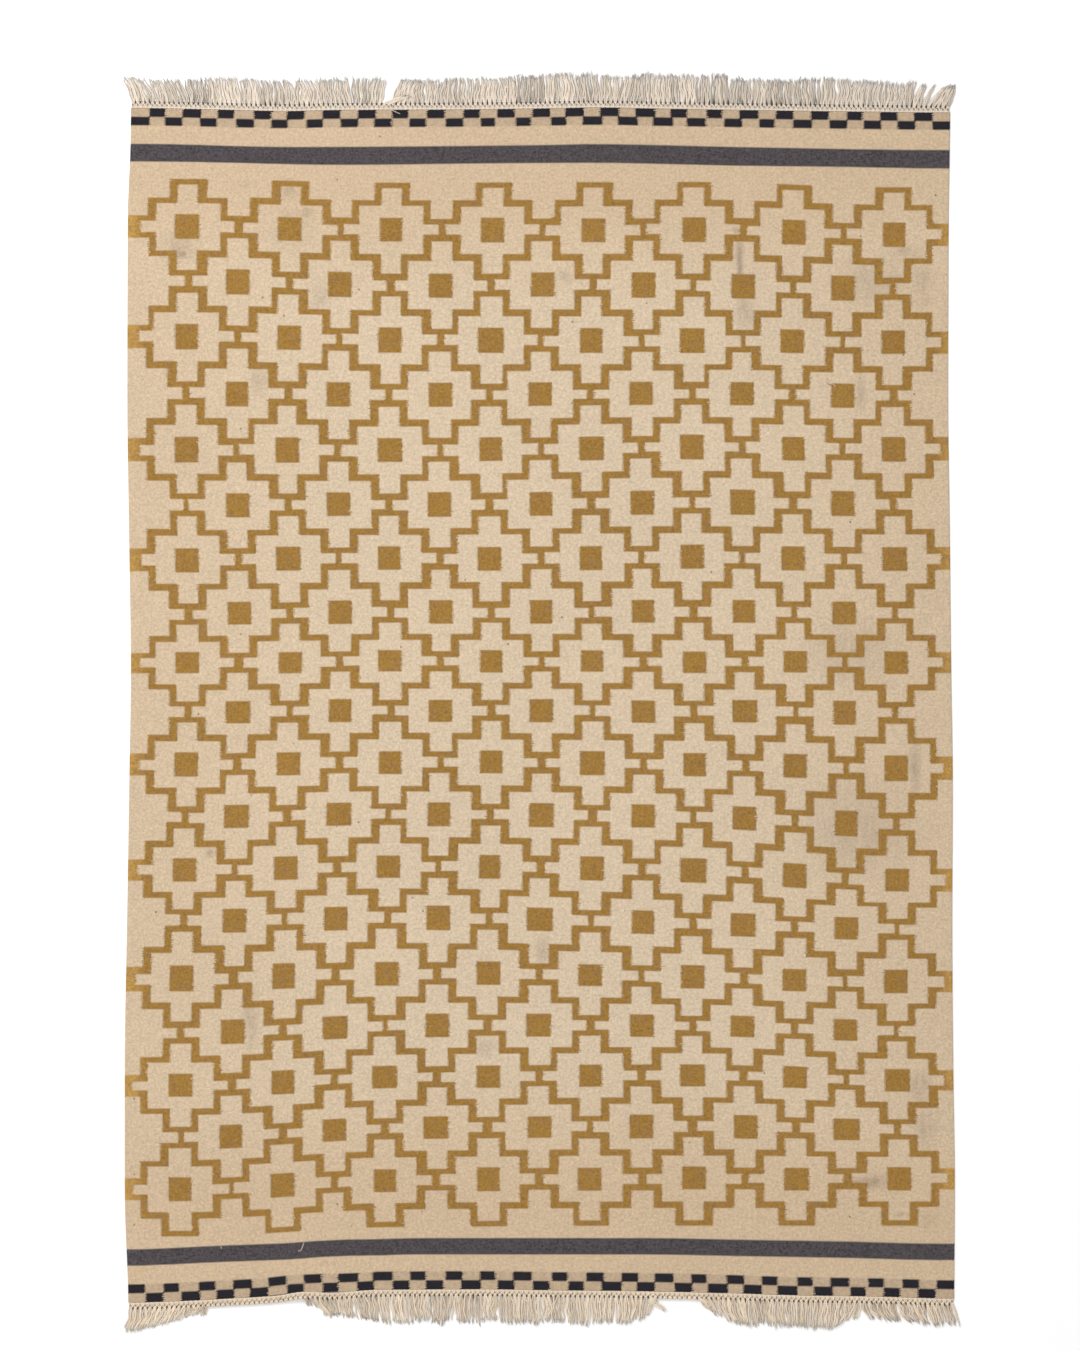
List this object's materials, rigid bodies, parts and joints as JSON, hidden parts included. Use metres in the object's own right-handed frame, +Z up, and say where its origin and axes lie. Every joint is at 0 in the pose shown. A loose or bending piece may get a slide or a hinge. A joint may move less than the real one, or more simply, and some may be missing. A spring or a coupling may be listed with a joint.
{
  "type": "kilim rug",
  "caption": "Flat-woven rug lying flat, with a net of stepped crosses, banded and chequered ends and a knotted fringe at each end.",
  "frame": {"origin": "on the floor under the middle of the rug, fringes included", "axes": "+X to the right across the rug, +Y along the rug towards its top end, +Z up out of the rug's face"},
  "size_m": [1.6308, 2.4605, 0.0136],
  "materials": {
    "wool": "matt weft-faced plain weave in heathered undyed cream wool",
    "mustard_wool": "matt weft-faced plain weave in mustard wool",
    "charcoal_wool": "matt weft-faced plain weave in charcoal wool",
    "navy_wool": "matt weft-faced plain weave in navy-black wool",
    "cotton": "matt plied cotton warp yarn, knotted"
  },
  "bodies": {
    "root": {"web": "wool", "fringe_top": "cotton", "fringe_bottom": "cotton"}
  },
  "joints": []
}
